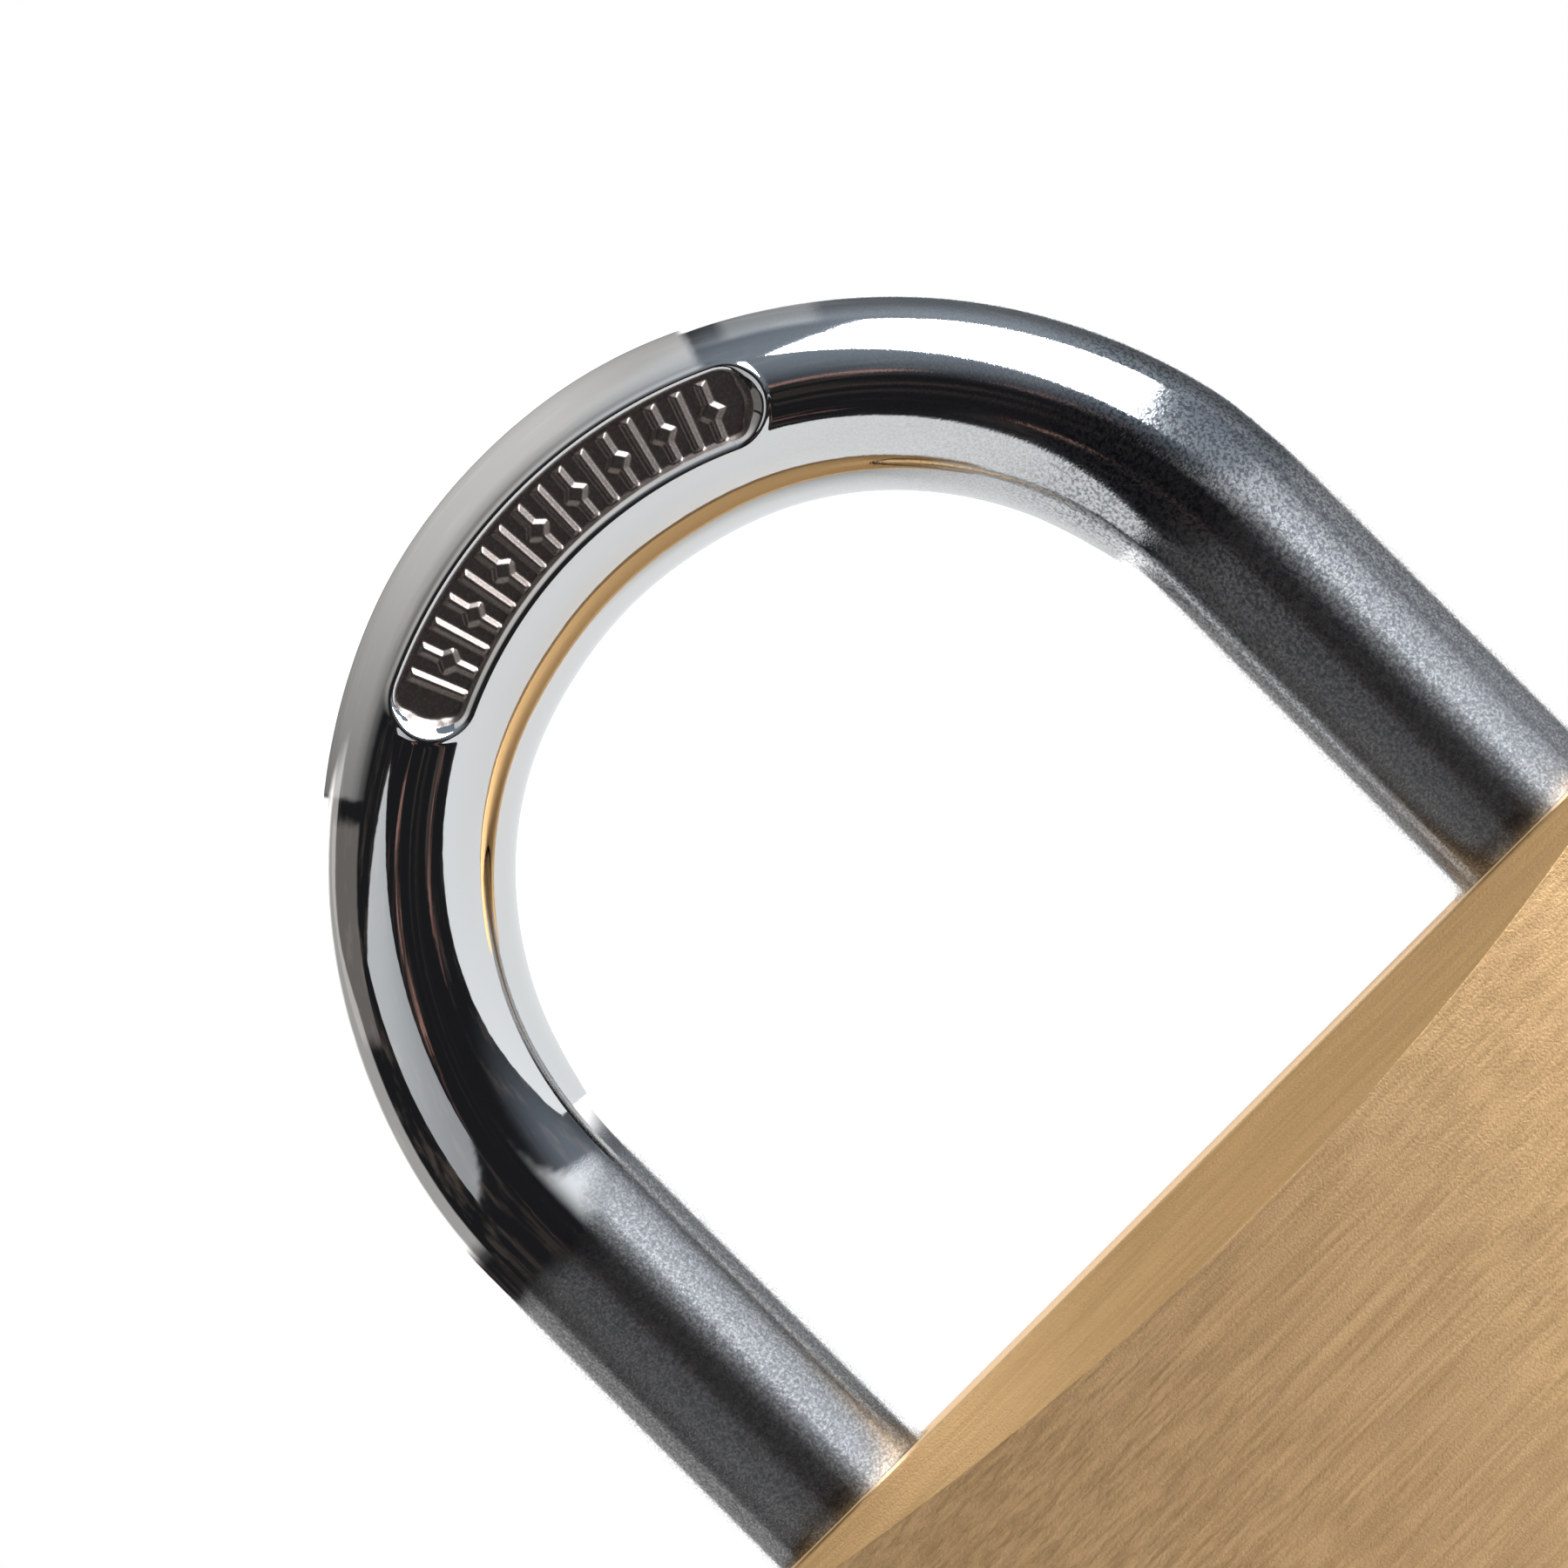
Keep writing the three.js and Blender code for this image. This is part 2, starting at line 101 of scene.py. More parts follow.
# Shackle details
HEEL_HEAD_TOP = 11.7 * MM
HEEL_HEAD = 3 * MM
NECK_TOP = 24.6 * MM
NECK = 2 * MM
TOE_END = 24 * MM
BOLT_Z = 29 * MM
NOTCH_DEPTH = 1.25 * MM
NOTCH_HALF = 2.5 * MM
SLIMMER = 0.11 * MM
FULLER = 0.08 * MM
NEAR_STEP = 0.01 * MM
BEND_RINGS = 36
FRONT_HALF_ANGLE = 0.62
FRONT_SIDES = 130
REST_SIDES = 72

# Stamped panel
PANEL_HALF_ANGLE = 0.43
PANEL_RADIUS = 14.66 * MM
PANEL_HALF_WIDTH = 1.24 * MM
PANEL_FLOOR = -2.72 * MM
PANEL_RINGS = 340
FINE_MARGIN = 0.13
STAMP_MARGIN = 0.16
OUTER_SLOPE = 2.1
INNER_SLOPE = 1.25
END_SLOPE = 0.85
WALL_START = 0.03 * MM
WALL_SOFTNESS = 0.035 * MM
FLOOR_SOFTNESS = 0.03 * MM
LIP = 0.02 * MM
LIP_OUT = 0.09 * MM
LIP_WIDTH = 0.08 * MM
MARKS = 16
MARK_RISE = 0.11 * MM
MARK_WIDTH = 0.26 * MM
MARK_HEIGHT = 1.84 * MM
LOZENGE = 0.4 * MM

# Plug and springs
PLUG_GROOVE_Z = 19 * MM
PLUG_GROOVE_HALF = 1.1 * MM
PLUG_GROOVE = 4.4 * MM
KEYWAY_END = 17.8 * MM
TANG_SLOT_DEPTH = 1.7 * MM
TANG_SLOT_HALF = 3 * MM
SHACKLE_WIRE = 0.35 * MM
BOLT_WIRE = 0.14 * MM
DRIVER_WIRE = 0.13 * MM
STEPS_PER_TURN = 28
WIRE_SIDES = 12

# Camera and floor
CAMERA_DISTANCE = 1.06
FRAME_WIDTH = 46.87 * MM
TARGET_X = -0.54 * MM
TARGET_ABOVE_BODY = 16.68 * MM
FLOOR_SIDE = 0.34
FLOOR_BACK = 0.45
FLOOR_FRONT_LEFT = -0.17
FLOOR_FRONT_RIGHT = -0.075

PINS = range(1, 6)


# ---------------------------------------------------------------- meshes

def new_object(name, points, faces, smooth=True):
    mesh = bpy.data.meshes.new(name)
    mesh.from_pydata([tuple(map(float, p)) for p in points], [], [tuple(f) for f in faces])
    mesh.update()
    piece = bpy.data.objects.new(name, mesh)
    bpy.context.scene.collection.objects.link(piece)
    if smooth:
        for polygon in mesh.polygons:
            polygon.use_smooth = True
    return piece


def grid_faces(rows, columns):
    """Quads of a grid of rows of points, each row closed on itself."""
    faces = []
    for row in range(rows - 1):
        for column in range(columns):
            after = (column + 1) % columns
            faces.append((row * columns + column, row * columns + after,
                          (row + 1) * columns + after, (row + 1) * columns + column))
    return faces


def tube_faces(rows, columns):
    """The faces of a closed grid with a flat end at its first and last row."""
    faces = grid_faces(rows, columns)
    faces.append(tuple(reversed(range(columns))))
    faces.append(tuple((rows - 1) * columns + column for column in range(columns)))
    return faces


def face_outward(piece):
    mesh = bmesh.new()
    mesh.from_mesh(piece.data)
    bmesh.ops.recalc_face_normals(mesh, faces=mesh.faces)
    mesh.to_mesh(piece.data)
    mesh.free()


def sharpen(piece, degrees=32):
    """Marks the edges sharper than an angle, so that smooth shading stops there."""
    mesh = bmesh.new()
    mesh.from_mesh(piece.data)
    limit = math.radians(degrees)
    for edge in mesh.edges:
        edge.smooth = len(edge.link_faces) == 2 and edge.calc_face_angle(0) < limit
    for face in mesh.faces:
        face.smooth = True
    mesh.to_mesh(piece.data)
    mesh.free()
    return piece


def weigh_normals(piece):
    modifier = piece.modifiers.new("weighted normals", "WEIGHTED_NORMAL")
    modifier.keep_sharp = True
    modifier.weight = 80
    return piece


def turn_matrix(axis, centre):
    """Takes a piece turned about Z to the given axis through a centre point."""
    turn = {"x": Matrix.Rotation(math.pi / 2, 4, "Y"), "y": Matrix.Rotation(-math.pi / 2, 4, "X"),
            "z": Matrix.Identity(4)}[axis]
    return Matrix.Translation(centre) @ turn


def turned(name, profile, sides=MEDIUM_SIDES, axis="z", centre=(0, 0, 0)):
    """A closed turned piece with flat ends. Its profile holds (distance along the axis, radius) pairs."""
    around = np.linspace(0, 2 * math.pi, sides, endpoint=False)
    points = [(r * math.cos(a), r * math.sin(a), z) for z, r in profile for a in around]
    piece = new_object(name, points, tube_faces(len(profile), sides))
    piece.data.transform(turn_matrix(axis, Vector(centre)))
    return sharpen(piece)


def block(name, low, high):
    mesh = bmesh.new()
    bmesh.ops.create_cube(mesh, size=1)
    low, high = Vector(low), Vector(high)
    for vertex in mesh.verts:
        vertex.co = Vector(low[i] + (vertex.co[i] + 0.5) * (high[i] - low[i]) for i in range(3))
    data = bpy.data.meshes.new(name)
    mesh.to_mesh(data)
    mesh.free()
    piece = bpy.data.objects.new(name, data)
    bpy.context.scene.collection.objects.link(piece)
    return piece


def carve(piece, cutters):
    """Cuts every cutter out of the piece and removes the cutters."""
    for cutter in cutters:
        modifier = piece.modifiers.new("cut", "BOOLEAN")
        modifier.operation = "DIFFERENCE"
        modifier.solver = "MANIFOLD"
        modifier.object = cutter
    bpy.context.view_layer.update()
    graph = bpy.context.evaluated_depsgraph_get()
    carved = bpy.data.meshes.new_from_object(piece.evaluated_get(graph), depsgraph=graph)
    piece.modifiers.clear()
    piece.data = carved
    for cutter in cutters:
        bpy.data.objects.remove(cutter)
    return piece


def finish_piece(piece, material, body, slot, *nodes):
    piece.data.materials.clear()
    piece.data.materials.append(material)
    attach(piece, body)
    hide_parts(*nodes)
    return piece


# ---------------------------------------------------------------- materials

class Nodes:
    """Short calls for building a node tree."""

    def __init__(self, tree):
        self.tree = tree

    def add(self, kind, **settings):
        node = self.tree.nodes.new(kind)
        for key, value in settings.items():
            setattr(node, key, value)
        return node

    def link(self, source, target):
        self.tree.links.new(source, target)

    def put(self, socket, value):
        if isinstance(value, bpy.types.NodeSocket):
            self.link(value, socket)
        else:
            socket.default_value = value

    def math(self, operation, first, second=None, third=None, clamp=False):
        node = self.add("ShaderNodeMath", operation=operation, use_clamp=clamp)
        for socket, value in zip(node.inputs, (first, second, third)):
            if value is not None:
                self.put(socket, value)
        return node.outputs[0]

    def product(self, *values):
        result = values[0]
        for value in values[1:]:
            result = self.math("MULTIPLY", result, value)
        return result

    def split(self, vector):
        node = self.add("ShaderNodeSeparateXYZ")
        self.link(vector, node.inputs[0])
        return tuple(node.outputs)

    def join(self, *values):
        node = self.add("ShaderNodeCombineXYZ")
        for socket, value in zip(node.inputs, values):
            self.put(socket, value)
        return node.outputs[0]

    def dot(self, vector, constant):
        node = self.add("ShaderNodeVectorMath", operation="DOT_PRODUCT")
        self.put(node.inputs[0], vector)
        node.inputs[1].default_value = constant
        return node.outputs["Value"]

    def ramp(self, value, low, high, to_low=0.0, to_high=1.0):
        """A smooth step from one result at low to another at high. low may be above high."""
        node = self.add("ShaderNodeMapRange", interpolation_type="SMOOTHSTEP", clamp=True)
        self.put(node.inputs["Value"], value)
        node.inputs["From Min"].default_value = low
        node.inputs["From Max"].default_value = high
        node.inputs["To Min"].default_value = to_low
        node.inputs["To Max"].default_value = to_high
        return node.outputs["Result"]

    def between(self, value, rise, fall):
        """1 from the end of one ramp to the start of the next, and 0 outside both."""
        return self.product(self.ramp(value, *rise), self.ramp(value, *fall))

    def mix(self, factor, first, second):
        node = self.add("ShaderNodeMix", data_type="RGBA")
        self.put(node.inputs["Factor"], factor)
        self.put(node.inputs["A"], first)
        self.put(node.inputs["B"], second)
        return node.outputs["Result"]

    def noise(self, coordinates, scale, detail=3.0, rough=0.55):
        node = self.add("ShaderNodeTexNoise")
        self.put(node.inputs["Vector"], coordinates)
        node.inputs["Scale"].default_value = scale
        node.inputs["Detail"].default_value = detail
        node.inputs["Roughness"].default_value = rough
        return node.outputs["Fac"]

    def stretch(self, coordinates, scale):
        node = self.add("ShaderNodeMapping")
        self.put(node.inputs["Vector"], coordinates)
        node.inputs["Scale"].default_value = scale
        return node.outputs["Vector"]

    def scaled(self, colour, factor):
        node = self.add("ShaderNodeVectorMath", operation="SCALE")
        node.inputs[0].default_value = colour
        self.put(node.inputs["Scale"], factor)
        return node.outputs[0]

    def total(self, vectors):
        result = vectors[0]
        for vector in vectors[1:]:
            node = self.add("ShaderNodeVectorMath", operation="ADD")
            self.link(result, node.inputs[0])
            self.link(vector, node.inputs[1])
            result = node.outputs[0]
        return result

    def bump(self, height, distance, strength=1.0, normal=None):
        node = self.add("ShaderNodeBump")
        self.put(node.inputs["Height"], height)
        node.inputs["Distance"].default_value = distance
        node.inputs["Strength"].default_value = strength
        if normal is not None:
            self.link(normal, node.inputs["Normal"])
        return node.outputs["Normal"]


def new_metal(name):
    material = bpy.data.materials.new(name)
    material.use_nodes = True
    nodes = Nodes(material.node_tree)
    shader = next(n for n in material.node_tree.nodes if n.type == "BSDF_PRINCIPLED")
    shader.inputs["Metallic"].default_value = 1.0
    place = nodes.add("ShaderNodeTexCoord").outputs["Object"]
    return material, nodes, shader, place


def brushed_brass():
    """Satin brass brushed along X, more strongly to the left, with a painted shade on the upward-facing
    bevels and top, and a rough top.
    """
    material, nodes, shader, place = new_metal("brushed brass")
    x, y, z = nodes.split(place)
    drift = nodes.product(nodes.noise(place, 50, 1), 0.5 * MM)
    drifted = nodes.join(x, nodes.math("ADD", y, drift), nodes.math("ADD", z, drift))
    lines = nodes.noise(nodes.stretch(drifted, (220, 7500, 7500)), 1.0, 3, 0.6)
    streaks = nodes.noise(nodes.stretch(drifted, (110, 2600, 2600)), 1.0, 3)
    grain = nodes.noise(nodes.stretch(place, (6500, 9500, 9500)), 1.0, 3, 0.7)
    clouds = nodes.noise(place, 140, 3)
    tone = nodes.product(streaks, 0.26)
    for marks, weight in ((lines, 0.42), (grain, 0.26), (clouds, 0.06)):
        tone = nodes.math("MULTIPLY_ADD", marks, weight, tone)
    tone = nodes.ramp(tone, 0.38, 0.62)
    contrast = nodes.ramp(x, -10 * MM, 8 * MM, 1.15, 0.65)
    tone = nodes.math("MULTIPLY_ADD", nodes.math("SUBTRACT", tone, 0.5), contrast, 0.5)

    normal_z = nodes.split(nodes.add("ShaderNodeNewGeometry").outputs["Normal"])[2]
    # Painted shade: faces that look upward, the top bevel and the top, take the darker brass colour below.
    upward_shade = nodes.ramp(normal_z, 0.35, 0.6)
    top_edge = nodes.ramp(normal_z, 0.76, 0.86)
    sawn_top = nodes.ramp(normal_z, 0.93, 0.99)
    # The unshaded brass for the other faces; cut is a darker copy of it, the painted shade on upward faces,
    # not a different finish.
    unshaded_brass = nodes.mix(tone, (0.69, 0.43, 0.21, 1), (0.835, 0.54, 0.275, 1))
    cut = nodes.mix(tone, (0.545, 0.343, 0.155, 1), (0.625, 0.398, 0.187, 1))
    nodes.link(nodes.mix(upward_shade, unshaded_brass, cut), shader.inputs["Base Color"])
    rough = nodes.ramp(lines, 0.25, 0.75, 0.4, 0.47)
    rough = nodes.math("MULTIPLY_ADD", top_edge, -0.08, rough)
    rough = nodes.math("MULTIPLY_ADD", sawn_top, 0.25, rough)
    nodes.link(rough, shader.inputs["Roughness"])
    sand = nodes.noise(place, 12000, 2, 0.6)
    brushed = nodes.bump(lines, 0.008 * MM)
    nodes.link(nodes.bump(sand, 0.013 * MM, normal=brushed), shader.inputs["Normal"])
    return material


def turned_brass():
    """Machined brass with rings about the Z axis of the plug."""
    material, nodes, shader, place = new_metal("turned brass")
    x, y, z = nodes.split(place)
    radius = nodes.math("SQRT", nodes.math("ADD", nodes.product(x, x), nodes.product(y, y)))
    rings = nodes.noise(nodes.join(radius, z), 9000, 3)
    clouds = nodes.noise(place, 300, 3)
    colour = nodes.mix(nodes.ramp(clouds, 0.3, 0.7), (0.58, 0.37, 0.17, 1), (0.76, 0.53, 0.28, 1))
    nodes.link(colour, shader.inputs["Base Color"])
    nodes.link(nodes.ramp(rings, 0.3, 0.7, 0.24, 0.4), shader.inputs["Roughness"])
    nodes.link(nodes.bump(rings, 0.01 * MM), shader.inputs["Normal"])
    return material


def pin_brass():
    material, nodes, shader, place = new_metal("pin brass")
    marks = nodes.noise(nodes.stretch(place, (9000, 1200, 1200)), 1.0, 3)
    colour = nodes.mix(nodes.ramp(marks, 0.3, 0.7), (0.66, 0.44, 0.2, 1), (0.82, 0.6, 0.32, 1))
    nodes.link(colour, shader.inputs["Base Color"])
    nodes.link(nodes.ramp(marks, 0.3, 0.7, 0.16, 0.32), shader.inputs["Roughness"])
    nodes.link(nodes.bump(marks, 0.006 * MM), shader.inputs["Normal"])
    return material


def steel(name, dark, light, low_rough, high_rough, grain):
    material, nodes, shader, place = new_metal(name)
    marks = nodes.noise(nodes.stretch(place, grain), 1.0, 4)
    clouds = nodes.noise(place, 500, 2)
    tone = nodes.math("MULTIPLY", nodes.math("ADD", marks, clouds), 0.5)
    nodes.link(nodes.mix(nodes.ramp(tone, 0.35, 0.65), dark, light), shader.inputs["Base Color"])
    nodes.link(nodes.ramp(marks, 0.3, 0.7, low_rough, high_rough), shader.inputs["Roughness"])
    nodes.link(nodes.bump(marks, 0.006 * MM), shader.inputs["Normal"])
    return material


def degree_ramp(nodes, angle, low, high, to_low=0.0, to_high=1.0):
    return nodes.ramp(angle, math.radians(low), math.radians(high), to_low, to_high)


def leg_masks(nodes, x, z, place):
    """Where the heel leg and the toe leg are satin, how far grain and specks spread from the toe leg."""
    wander = nodes.product(nodes.math("SUBTRACT", nodes.noise(place, 500, 3), 0.5), 3 * MM)
    height = nodes.math("ADD", z, wander)
    inner_side = nodes.ramp(x, -LEG_X - 0.5 * MM, -LEG_X + 2 * MM, 0.0, -1.1 * MM)
    heel_height = nodes.math("ADD", height, inner_side)
    heel = nodes.product(nodes.ramp(heel_height, BEND_Z - 0.1 * MM, BEND_Z - 2.2 * MM),
                         nodes.ramp(x, MM, -MM))
    angle = nodes.math("ARCTAN2", nodes.math("SUBTRACT", height, BEND_Z), x)
    toe_side = nodes.ramp(x, -2 * MM, 4 * MM)
    toe = nodes.product(degree_ramp(nodes, angle, 14, -6), toe_side)
    toe_grain = nodes.product(degree_ramp(nodes, angle, 70, 20, 0.0, 0.55), toe_side)
    toe_specks = nodes.product(degree_ramp(nodes, angle, 32, 18),
                               degree_ramp(nodes, angle, -40, -5, 0.55, 1.0), toe_side)
    return heel, toe, toe_grain, toe_specks


def shackle_chrome():
    """Chrome plate: a mirror on the bend, grainy towards the toe leg, satin and specked on both legs, with a
    painted shade in the stamped panel.
    """
    material, nodes, shader, place = new_metal("shackle chrome")
    x, y, z = nodes.split(place)
    heel, toe, toe_grain, toe_specks = leg_masks(nodes, x, z, place)
    satin = nodes.math("MAXIMUM", heel, toe)
    grainy = nodes.math("MAXIMUM", satin, toe_grain)
    pressed = nodes.add("ShaderNodeAttribute", attribute_name="pressed").outputs["Fac"]
    speckle = nodes.noise(place, 13000, 2, 0.7)

    facing = nodes.add("ShaderNodeLayerWeight")
    facing.inputs["Blend"].default_value = 0.5
    graze = nodes.ramp(facing.outputs["Facing"], 0.35, 0.95, 1.0, 0.25)
    rough = nodes.math("MULTIPLY_ADD", satin, 0.1, nodes.math("MULTIPLY_ADD", grainy, 0.04, 0.03))
    rough = nodes.math("MULTIPLY_ADD", nodes.product(grainy, speckle), 0.06, rough)
    panel_floor = nodes.ramp(pressed, 0.1, 0.9)
    rough = nodes.math("MULTIPLY_ADD", panel_floor, 0.31, nodes.product(rough, graze))
    nodes.link(rough, shader.inputs["Roughness"])
    shader.inputs["Anisotropic"].default_value = 0.6
    shader.inputs["Anisotropic Rotation"].default_value = 0.25
    tangent = nodes.add("ShaderNodeTangent", direction_type="RADIAL", axis="Z")
    nodes.link(tangent.outputs[0], shader.inputs["Tangent"])

    tone = nodes.product(nodes.ramp(speckle, 0.3, 0.75), grainy)
    plated = nodes.mix(tone, (0.69, 0.695, 0.7, 1), (0.27, 0.275, 0.28, 1))
    broad_side = nodes.ramp(nodes.math("ABSOLUTE", y), 0.9 * MM, 1.9 * MM)
    specked = nodes.product(nodes.math("MULTIPLY_ADD", heel, 0.55, toe_specks), broad_side)
    specks = nodes.product(nodes.ramp(nodes.noise(place, 9000, 2, 0.6), 0.47, 0.6, 0.0, 0.85), specked)
    plated = nodes.mix(specks, plated, (0.2, 0.21, 0.225, 1))
    # Painted shade: the stamped panel's floor is darkened towards dark brown, most where it is pressed in
    # furthest.
    recess_shade = nodes.product(nodes.ramp(pressed, 0.3, 1.0), nodes.ramp(speckle, 0.2, 0.6, 0.85, 1.0))
    nodes.link(nodes.mix(recess_shade, plated, (0.17, 0.14, 0.125, 1)), shader.inputs["Base Color"])

    grain = nodes.noise(place, 14000, 1, 0.6)
    fine = nodes.product(grain, nodes.math("MULTIPLY_ADD", grainy, 0.98, 0.02))
    peel = nodes.product(nodes.noise(place, 900, 2), nodes.math("SUBTRACT", 1.0, grainy))
    normal = nodes.bump(fine, 0.0026 * MM)
    nodes.link(nodes.bump(peel, 0.003 * MM, normal=normal), shader.inputs["Normal"])
    return material


# ---------------------------------------------------------------- body

def body_outline():
    """The body seen from above: points, each with its outward direction and its two bevel heights."""
    centre_y = FACE_RADIUS - HALF_DEPTH
    corner_x = HALF_WIDTH - CORNER_RADIUS
    corner_y = centre_y - math.sqrt((FACE_RADIUS - CORNER_RADIUS) ** 2 - corner_x ** 2)
    spread = math.atan2(corner_x, centre_y - corner_y)
    quarter = []
    for angle in np.linspace(0, spread, FACE_STEPS)[:-1]:
        x, y = FACE_RADIUS * math.sin(angle), centre_y - FACE_RADIUS * math.cos(angle)
        fall_back = -y - HALF_DEPTH
        quarter.append((x, y, math.sin(angle), -math.cos(angle),
                        fall_back + TOP_BEVEL, fall_back + BOTTOM_BEVEL))
    top_end, bottom_end = [max(quarter[-1][i], LEAST_BEVEL) for i in (4, 5)]
    for step in np.linspace(0, 1, CORNER_STEPS):
        angle = spread - math.pi / 2 + step * (math.pi / 2 - spread)
        side = step * step * (3 - 2 * step)
        x, y = corner_x + CORNER_RADIUS * math.cos(angle), corner_y + CORNER_RADIUS * math.sin(angle)
        top = top_end + side * (SIDE_BEVEL - top_end)
        bottom = bottom_end + side * (SIDE_BEVEL - bottom_end)
        quarter.append((x, y, math.cos(angle), math.sin(angle), top, bottom))
    right = quarter + [(x, -y, nx, -ny, top, low) for x, y, nx, ny, top, low in reversed(quarter)]
    left = [(-x, y, -nx, ny, top, low) for x, y, nx, ny, top, low in reversed(right[1:-1])]
    return right + left


def rounded_bevel(drop, tilt, steps=4):
    """A bevel with rounded edges, as points (distance out from the wall, height above the flat face)."""
    drop = max(drop, 0.01 * MM)
    run = drop / max(tilt, LEAST_TILT)
    slope = math.atan2(run, drop)
    normal = (math.cos(slope), math.sin(slope))
    reach = -drop * normal[1]
    wall_round = FACE_EDGE
    wall = (-FACE_EDGE, (reach - FACE_EDGE + FACE_EDGE * normal[0]) / normal[1])
    flat = ((reach - TOP_EDGE + TOP_EDGE * normal[1]) / normal[0], -TOP_EDGE)
    if wall[1] > -TOP_EDGE or flat[0] > -TOP_EDGE:
        wall_round = TOP_EDGE
        wall = flat = (-TOP_EDGE, -TOP_EDGE)
    points = []
    arcs = ((wall, wall_round, 0, slope), (flat, TOP_EDGE, slope, math.pi / 2))
    for centre, radius, start, end in arcs:
        for angle in np.linspace(start, end, steps):
            points.append((centre[0] + radius * math.cos(angle), centre[1] + radius * math.sin(angle)))
    return points


def bevel_tilt(x, out_y):
    """How squarely the wall faces front or back, which sets how far its bevel runs in. Sides count as 1."""
    return abs(out_y) if abs(x) < HALF_WIDTH - CORNER_RADIUS else 1.0


def body_shell():
    outline = body_outline()
    columns = []
    for x, y, out_x, out_y, top_drop, low_drop in outline:
        tilt = bevel_tilt(x, out_y)
        top = [(w, BODY_TOP + h) for w, h in rounded_bevel(top_drop, tilt)]
        low = [(w, -h) for w, h in rounded_bevel(low_drop, tilt)]
        rows = list(reversed(low)) + top
        columns.append([(x + out_x * w, y + out_y * w, z) for w, z in rows])
    rows = len(columns[0])
    count = len(columns)
    points = [columns[c][r] for r in range(rows) for c in range(count)]
    return new_object("brass_body", points, tube_faces(rows, count))


def middle(node):
    low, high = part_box(node)
    return (low + high) / 2


def body_cutters():
    """The body's holes for the legs, the plug, the cam's fin, the bolts, the pins and the retaining pins."""
    cutters = []
    for side, floor in ((-1, HEEL_HOLE_FLOOR), (1, TOE_HOLE_FLOOR)):
        profile = [(floor, LEG_HOLE), (BODY_TOP - RIM, LEG_HOLE), (BODY_TOP, LEG_HOLE + RIM),
                   (BODY_TOP + BEYOND, LEG_HOLE + RIM)]
        cutters.append(turned("leg hole", profile, FINE_SIDES, "z", (side * LEG_X, 0, 0)))
    profile = [(-BEYOND, PLUG_BORE + RIM), (0, PLUG_BORE + RIM), (RIM, PLUG_BORE),
               (PLUG_BORE_END, PLUG_BORE)]
    cutters.append(turned("plug bore", profile, FINE_SIDES))
    cam_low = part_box("cam")[0].z
    cutters.append(turned("fin hole", [(cam_low, FIN_HOLE), (BOLT_Z, FIN_HOLE)], SMALL_SIDES))
    profile = [(-LEG_X, BOLT_BORE), (HALF_WIDTH + BEYOND, BOLT_BORE)]
    cutters.append(turned("bolt bore", profile, MEDIUM_SIDES, "x", (0, 0, BOLT_Z)))
    profile = [(0, CHAMBER), (HALF_WIDTH + BEYOND, CHAMBER)]
    for pin in PINS:
        height = middle(f"driver_pin_{pin}").z
        cutters.append(turned("chamber", profile, SMALL_SIDES, "x", (0, 0, height)))
    for node in ("shackle_retaining_pin", "plug_retaining_pin"):
        low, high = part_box(node)
        centre = (low + high) / 2
        radius = (high.x - low.x) / 2 + PIN_PLAY
        profile = [(low.y - 0.1 * MM, radius), (HALF_DEPTH + BEYOND, radius)]
        cutters.append(turned("pin hole", profile, SMALL_SIDES, "y", (centre.x, 0, centre.z)))
    return cutters


def make_body(material):
    body = carve(body_shell(), body_cutters())
    sharpen(body, degrees=28)
    weigh_normals(body)
    return finish_piece(body, material, "body", "body_brass", "body_block")


# ---------------------------------------------------------------- shackle

def smooth(value, low, high):
    """A smooth step from 0 at low to 1 at high."""
    share = np.clip((value - low) / (high - low), 0, 1)
    return share * share * (3 - 2 * share)


def thickness(angle):
    """Half the rod's thickness in the plane of the bend: fuller at the top, slimmer either side of it."""
    away = abs(math.degrees(angle) - 90)
    slim = SLIMMER * float(smooth(away, 12, 45) * (1 - smooth(away, 62, 88)))
    full = FULLER * (1 - float(smooth(away, 8, 32)))
    return ROD - slim + full


def shackle_stations():
    """Rings along the shackle: x, z, angle of the outward side, radius in the bend's plane, radius across."""
    heel = [(HEEL_END, 0.9), (HEEL_END + 0.25 * MM, 1),
            (HEEL_HEAD_TOP - 0.1 * MM, 1), (HEEL_HEAD_TOP, 0.97)]
    rings = [(-LEG_X, z, math.pi, HEEL_HEAD * share, HEEL_HEAD * share) for z, share in heel]
    neck = [HEEL_HEAD_TOP + NEAR_STEP, HEEL_HEAD_TOP + 0.2 * MM, NECK_TOP - 0.2 * MM, NECK_TOP - NEAR_STEP]
    rings += [(-LEG_X, z, math.pi, NECK, NECK) for z in neck]
    low, high = BOLT_Z - NOTCH_HALF, BOLT_Z + NOTCH_HALF
    leg = [NECK_TOP, NECK_TOP + 0.12 * MM, low - NEAR_STEP, low, high, high + NEAR_STEP]
    leg += list(np.arange(high + 0.5 * MM, BEND_Z - 0.2 * MM, 0.5 * MM))
    rings += [(-LEG_X, z, math.pi, ROD if z > NECK_TOP else ROD - 0.1 * MM, ROD) for z in leg]
    edge = math.pi / 2 + PANEL_HALF_ANGLE + FINE_MARGIN
    bend = list(np.linspace(math.pi, edge, BEND_RINGS)[:-1])
    bend += list(np.linspace(edge, math.pi - edge, PANEL_RINGS))
    bend += list(np.linspace(math.pi - edge, 0, BEND_RINGS)[1:])
    for angle in bend:
        x, z = LEG_X * math.cos(angle), BEND_Z + LEG_X * math.sin(angle)
        rings.append((x, z, angle, thickness(angle), ROD))
    rings += [(LEG_X, z, 0, ROD, ROD) for z in reversed(leg[2:])]
    for z, cut in ((TOE_END + 0.6 * MM, 0), (TOE_END + 0.12 * MM, 0.42), (TOE_END, 0.6)):
        rings.append((LEG_X, z, 0, ROD - cut * MM, ROD - cut * MM))
    return rings


